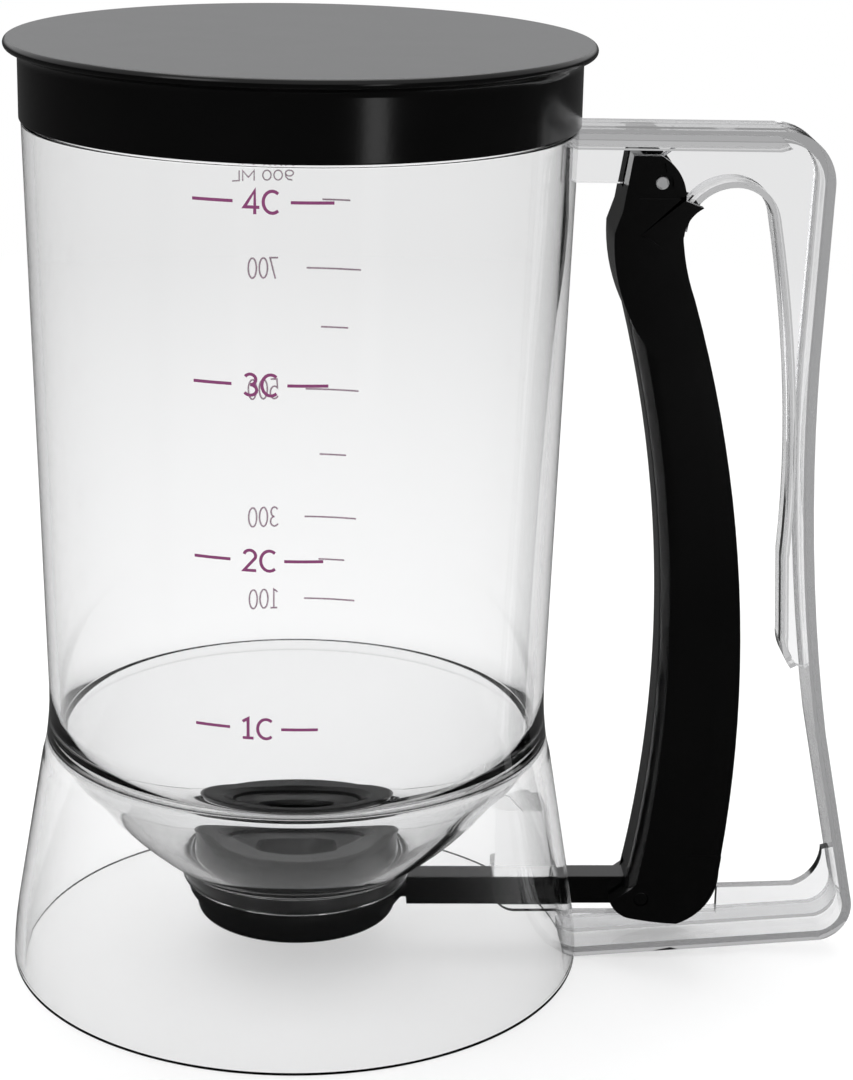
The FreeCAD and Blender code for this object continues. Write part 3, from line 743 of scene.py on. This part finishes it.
GLYPHS: dict[str, tuple[float, list[list[Point]]]] = {
    " ": (0.3, []),
    "0": (0.62, [bow(0.31, 0.5, 0.23, 0.44, 90, 450)]),
    "1": (0.56, [[(0.1, 0.8), (0.3, 0.94), (0.3, 0.06)], [(0.1, 0.06), (0.5, 0.06)]]),
    "2": (0.6, [bow(0.3, 0.7, 0.21, 0.24, 165, -25) + [(0.09, 0.06), (0.53, 0.06)]]),
    "3": (0.6, [bow(0.28, 0.72, 0.2, 0.22, 150, -90), bow(0.28, 0.28, 0.23, 0.22, 90, -150)]),
    "4": (0.64, [[(0.44, 0.0), (0.44, 0.94), (0.08, 0.28), (0.6, 0.28)]]),
    "5": (0.6, [[(0.5, 0.94), (0.14, 0.94), (0.11, 0.54)] + bow(0.28, 0.34, 0.24, 0.28, 110, -145)]),
    "7": (0.58, [[(0.07, 0.94), (0.52, 0.94), (0.22, 0.02)]]),
    "9": (0.62, [bow(0.31, 0.68, 0.22, 0.26, 0, 360),
                 [(0.53, 0.68), (0.5, 0.35), (0.38, 0.12), (0.14, 0.06)]]),
    "C": (0.7, [bow(0.4, 0.5, 0.31, 0.44, 50, 310)]),
    "L": (0.54, [[(0.1, 0.98), (0.1, 0.06), (0.5, 0.06)]]),
    "M": (0.84, [[(0.1, 0.02), (0.1, 0.94), (0.42, 0.34), (0.74, 0.94), (0.74, 0.02)]]),
}


@dataclass(frozen=True)
class Mark:
    """One row of a printed scale: its height, its words and its strokes.

    Size and weight scale the letters' height and the line's width.

    Angles are degrees from the middle of the side that carries the print, towards the handle.
    """

    height: float
    words: str = ""
    words_at: float = 0.0
    strokes: tuple[tuple[float, float], ...] = ()
    size: float = 1.0
    weight: float = 1.0


@dataclass
class Print:
    """A scale printed on the outside of the vessel's wall."""

    vessel: Vessel
    finish: bpy.types.Material
    name: str
    facing: float
    letter_height: float
    stroke_width: float
    marks: Sequence[Mark] = field(default_factory=list)
    lift: float = 0.03
    film: float = 0.03
    narrowing: float = 1.0

    def at(self, across: float, height: float, lift: float) -> Vector:
        """Place on the wall.

        Args:
            across: Degrees from the middle of this side, to the right for a reader of the print.
            height: Height in millimetres.
            lift: Distance out from the wall in millimetres.

        Returns:
            The place in metres.
        """
        angle = math.radians(self.facing + across)
        radius = (self.vessel.wall_radius(height) + lift) * MM
        across_x = self.vessel.axis_x + radius * math.cos(angle)
        return Vector((across_x, radius * math.sin(angle), height * MM))

    def trace(self, work: bmesh.types.BMesh, mark: Mark, points: Sequence[Point]) -> None:
        """Add one printed line of constant width.

        Args:
            work: Mesh that takes the film.
            mark: The row that the line belongs to.
            points: Places in millimetres, across from the middle of the side and up from the row.
        """
        places = [Vector(point) for point in points]
        ways = [(b - a).normalized() for a, b in zip(places, places[1:])]
        half = self.stroke_width / 2 * mark.weight
        degrees = math.degrees(1.0 / self.vessel.wall_radius(mark.height))
        rings = []
        for index, place in enumerate(places):
            before = ways[max(index - 1, 0)]
            after = ways[min(index, len(ways) - 1)]
            side = Vector((-before.y - after.y, before.x + after.x)).normalized()
            reach = half / max(side.dot(Vector((-before.y, before.x))), MITRE_LIMIT)
            ring = []
            for offset, lift in ((-reach, self.lift), (reach, self.lift), (reach, self.lift + self.film),
                                 (-reach, self.lift + self.film)):
                spot = place + side * offset
                ring.append(work.verts.new(self.at(spot.x * degrees, mark.height + spot.y, lift)))
            rings.append(ring)
        for first, second in zip(rings, rings[1:]):
            for k in range(4):
                work.faces.new((first[k], first[(k + 1) % 4], second[(k + 1) % 4], second[k]))
        work.faces.new(rings[0])
        work.faces.new(rings[-1])

    def words(self, work: bmesh.types.BMesh, mark: Mark) -> None:
        """Add the words of one row, wrapped to the wall."""
        high = self.letter_height * mark.size
        wide = self.letter_height * self.narrowing
        pen = math.radians(mark.words_at) * self.vessel.wall_radius(mark.height)
        pen -= sum(GLYPHS[letter][0] for letter in mark.words) * wide / 2
        for letter in mark.words:
            advance, lines = GLYPHS[letter]
            for line in lines:
                self.trace(work, mark, [(pen + x * wide, (y - 0.5) * high) for x, y in line])
            pen += advance * wide

    def build(self) -> bpy.types.Object:
        """Build the whole scale as one printed film."""
        work = bmesh.new()
        for mark in self.marks:
            arc = math.radians(1.0) * self.vessel.wall_radius(mark.height)
            for start, end in mark.strokes:
                places = [start + (end - start) * k / RULE_STEPS for k in range(RULE_STEPS + 1)]
                self.trace(work, mark, [(place * arc, 0.0) for place in places])
            if mark.words:
                self.words(work, mark)
        mesh = bpy.data.meshes.new(self.name)
        bmesh.ops.recalc_face_normals(work, faces=work.faces)
        work.to_mesh(mesh)
        work.free()
        piece = bpy.data.objects.new(self.name, mesh)
        bpy.context.scene.collection.objects.link(piece)
        return dress(piece, self.finish, Body.VESSEL, "clear_shell")


def cup_marks() -> list[Mark]:
    """The four cup marks on the front."""
    rows = ((162.3, "4C", -7.4, -20.9, -12.9, -1.9, 6.3), (130.2, "3C", -7.6, -21.2, -13.4, -2.4, 5.6),
            (98.0, "2C", -7.9, -21.6, -13.9, -2.9, 5.0), (65.8, "1C", -8.5, -21.9, -14.3, -3.4, 4.3))
    return [Mark(z, words, at, ((a, b), (c, d))) for z, words, at, a, b, c, d in rows]


def millilitre_marks() -> list[Mark]:
    """The scale on the back, with a number at each odd hundred."""
    rows = ((144.3, ""), (129.9, "700"), (117.5, ""), (104.1, "500"), (90.0, ""), (76.2, "300"),
            (66.8, ""), (57.9, "100"))
    marks = [Mark(z, words, 9.0 if words else 0.0, ((-14.7, -1.5),) if words else ((-11.8, -5.1),))
             for z, words in rows]
    return marks + [Mark(149.2, "900 ML", 9.0, size=0.48, weight=0.75)]


@dataclass
class Studio:
    """The pale floor, the world and the soft lamps."""

    axis_x: float
    floor_size: float = 40.0
    white_share: float = 0.5
    dark_share: float = 0.95
    dark_strength: float = 0.02
    white_from: float = 0.15
    white_to: float = 0.7
    drop: float = 0.0002

    def floor(self) -> None:
        """Lay the pale floor, which turns white for the camera and clear parts away from the object."""
        half = self.floor_size / 2
        mesh = bpy.data.meshes.new("floor")
        corners = [(-half, -half, 0), (half, -half, 0), (half, half, 0), (-half, half, 0)]
        mesh.from_pydata(corners, [], [(0, 1, 2, 3)])
        plane = bpy.data.objects.new("floor", mesh)
        plane.location.z = -self.drop
        bpy.context.scene.collection.objects.link(plane)
        material, graph = new_graph("pale_floor")
        paper = graph.noise(90.0, 3.0)
        matt = graph.surface({
            "Base Color": graph.tint(paper, (0.92, 0.92, 0.92), (0.95, 0.95, 0.95)),
            "Roughness": 0.8 + paper * 0.1, "Specular IOR Level": 0.1})
        glow = graph.node("ShaderNodeEmission", inputs={"Color": (1.0, 1.0, 1.0, 1.0), "Strength": 1.0})
        seen = graph.node("ShaderNodeLightPath", output="Is Camera Ray")
        through = graph.node("ShaderNodeLightPath", output="Is Transmission Ray")
        mirrored = graph.node("ShaderNodeLightPath", output="Is Glossy Ray")
        shade = graph.node("ShaderNodeEmission", inputs={
            "Color": (1.0, 1.0, 1.0, 1.0), "Strength": self.dark_strength})
        place = graph.node("ShaderNodeTexCoord", output="Object")
        away = graph.node("ShaderNodeVectorMath", {"operation": "LENGTH"}, {0: place}, output="Value")
        open_floor = graph.node("ShaderNodeMapRange", inputs={
            "Value": away, "From Min": self.white_from, "From Max": self.white_to,
            "To Min": self.white_share, "To Max": 1.0})
        pale = graph.node("ShaderNodeMixShader", inputs={
            0: (seen | through) * open_floor, 1: matt, 2: glow})
        graph.finish(graph.node("ShaderNodeMixShader", inputs={
            0: mirrored * (1.0 - through) * self.dark_share, 1: pale, 2: shade}))
        mesh.materials.append(material)

    def sky(self) -> None:
        """White for the camera and through clear parts, and a softer room for everything else."""
        world = bpy.data.worlds.new("room")
        bpy.context.scene.world = world
        graph = Graph(world)
        direction = graph.node("ShaderNodeTexCoord", output="Generated")
        height = graph.node("ShaderNodeSeparateXYZ", inputs={0: direction}, output="Z")
        room = graph.node("ShaderNodeValToRGB", {"stops": (
            (0.0, (0.02, 0.02, 0.02)), (0.5, (0.04, 0.04, 0.04)), (0.6, (0.95, 0.95, 0.96)),
            (1.0, (1.0, 1.0, 1.0)))}, {0: height * 0.5 + 0.5})
        dim = graph.node("ShaderNodeBackground", inputs={"Color": room, "Strength": 0.95})
        white = graph.node("ShaderNodeBackground", inputs={"Color": (1.0, 1.0, 1.0, 1.0), "Strength": 1.0})
        seen = graph.node("ShaderNodeLightPath", output="Is Camera Ray")
        through = graph.node("ShaderNodeLightPath", output="Is Transmission Ray")
        graph.finish(graph.node("ShaderNodeMixShader", inputs={0: seen | through, 1: dim, 2: white}),
                     "ShaderNodeOutputWorld")

    def lamp(self, name: str, place: Vector, aim: Vector, size: Point, watts: float) -> None:
        """Hang one soft rectangular lamp.

        Args:
            name: Lamp name.
            place: Where it hangs, in metres.
            aim: The point that it faces.
            size: Its width and height.
            watts: Its power.
        """
        data = bpy.data.lights.new(name, "AREA")
        data.shape = "RECTANGLE"
        data.size, data.size_y = size
        data.energy = watts
        made = bpy.data.objects.new(name, data)
        made.location = place
        made.rotation_euler = (aim - place).to_track_quat("-Z", "Y").to_euler()
        bpy.context.scene.collection.objects.link(made)

    def build(self) -> None:
        """Set up the floor, the room and the lamps."""
        self.floor()
        self.sky()
        middle = Vector((self.axis_x + 0.02, 0.0, 0.09))
        self.lamp("overhead_soft", Vector((self.axis_x, 0.35, 1.3)), middle, (1.2, 1.0), 12.5)
        self.lamp("front_left_window", Vector((-0.9, -0.9, 0.7)), middle, (0.5, 0.7), 2.6)
        self.lamp("low_strip", Vector((self.axis_x + 0.21, -0.40, 0.07)), middle, (0.07, 0.24), 0.12)
        view = bpy.context.scene.view_settings
        view.view_transform = "Standard"


@dataclass
class PhotographCamera:
    """The camera at the photograph's angle, from a fit to the vessel's own circles."""

    axis_x: float
    distance: float = 0.505602
    height: float = 0.247412
    pitch: float = 17.659
    roll: float = 1.239
    yaw: float = 2.832
    lens: float = 90.409
    sensor: float = 36.0

    def build(self) -> None:
        """Place the camera."""
        pitch, roll, yaw = (math.radians(a) for a in (self.pitch, self.roll, self.yaw))
        ahead = Vector((math.sin(yaw) * math.cos(pitch), math.cos(yaw) * math.cos(pitch),
                        -math.sin(pitch)))
        above = Vector((math.sin(yaw) * math.sin(pitch), math.cos(yaw) * math.sin(pitch),
                        math.cos(pitch)))
        right = Vector((math.cos(yaw), -math.sin(yaw), 0.0))
        across = right * math.cos(roll) + above * math.sin(roll)
        upward = above * math.cos(roll) - right * math.sin(roll)
        data = bpy.data.cameras.new("photograph_camera")
        data.lens = self.lens
        data.sensor_width = self.sensor
        camera = bpy.data.objects.new("photograph_camera", data)
        turn = Matrix((across, upward, -ahead)).transposed()
        camera.matrix_world = Matrix.Translation((self.axis_x, -self.distance, self.height)) @ turn.to_4x4()
        bpy.context.scene.collection.objects.link(camera)
        bpy.context.scene.camera = camera


def main() -> None:
    """Build every sub-assembly, then the studio and the camera."""
    logging.basicConfig(level=logging.INFO)
    low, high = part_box("hopper")
    axis_x = (low.x + high.x) / 2
    clear = ClearPlastic("clear_shell_plastic").material()
    clear_foot = ClearPlastic("clear_skirt_plastic", (0.985, 0.986, 0.987), (0.97, 0.971, 0.972),
                              density=38.0).material()
    clear_guide = ClearPlastic("clear_guide_plastic", (0.985, 0.986, 0.987), (0.975, 0.976, 0.977),
                               index=1.2, density=6.0).material()
    clear_grip = ClearPlastic("clear_handle_plastic", (0.965, 0.967, 0.97), (0.94, 0.942, 0.946),
                               mirror=0.12, density=115.0).material()
    gloss = MouldedPlastic("black_gloss_plastic",
                           (0.0006, 0.0006, 0.0006), (0.0016, 0.0016, 0.0016),
                           0.16, 0.06, 900.0, 0.00001, 0.27).material()
    # satin roughness for the lid's top, with a lighter grey base colour than the black sides: painted sheen
    # where light falls on the top
    satin_painted_sheen = MouldedPlastic("black_top_satin_painted_sheen", (0.040, 0.041, 0.042), (0.050, 0.051, 0.052),
                           0.42, 0.06, 2400.0, 0.00003, 0.5).material()
    seat = MouldedPlastic("black_seat_rubber", (0.0012, 0.0012, 0.0012), (0.0025, 0.0025, 0.0025),
                          0.3, 0.08, 1500.0, 0.00002, 0.3).material()
    front_ink = Ink("purple_ink", (0.185, 0.03, 0.12), (0.23, 0.05, 0.155)).material()
    back_ink = Ink("purple_ink_back", (0.30, 0.10, 0.21), (0.40, 0.18, 0.31), 0.6).material()
    vessel = Vessel(axis_x, clear)
    vessel.hopper()
    vessel.skirt(clear_foot)
    Lid(axis_x, satin_painted_sheen, gloss).build()
    Valve(axis_x, seat, gloss).build()
    Handle(clear_grip, clear_guide, gloss, SpringSteel().material()).build()
    Print(vessel, front_ink, "cup_scale", -90.0, 4.3, 0.56, cup_marks(), narrowing=1.16).build()
    Print(vessel, back_ink, "millilitre_scale", 90.0, 4.8, 0.36, millilitre_marks(),
          narrowing=0.8).build()
    Studio(axis_x).build()
    PhotographCamera(axis_x).build()


if __name__ == "__main__":
    main()
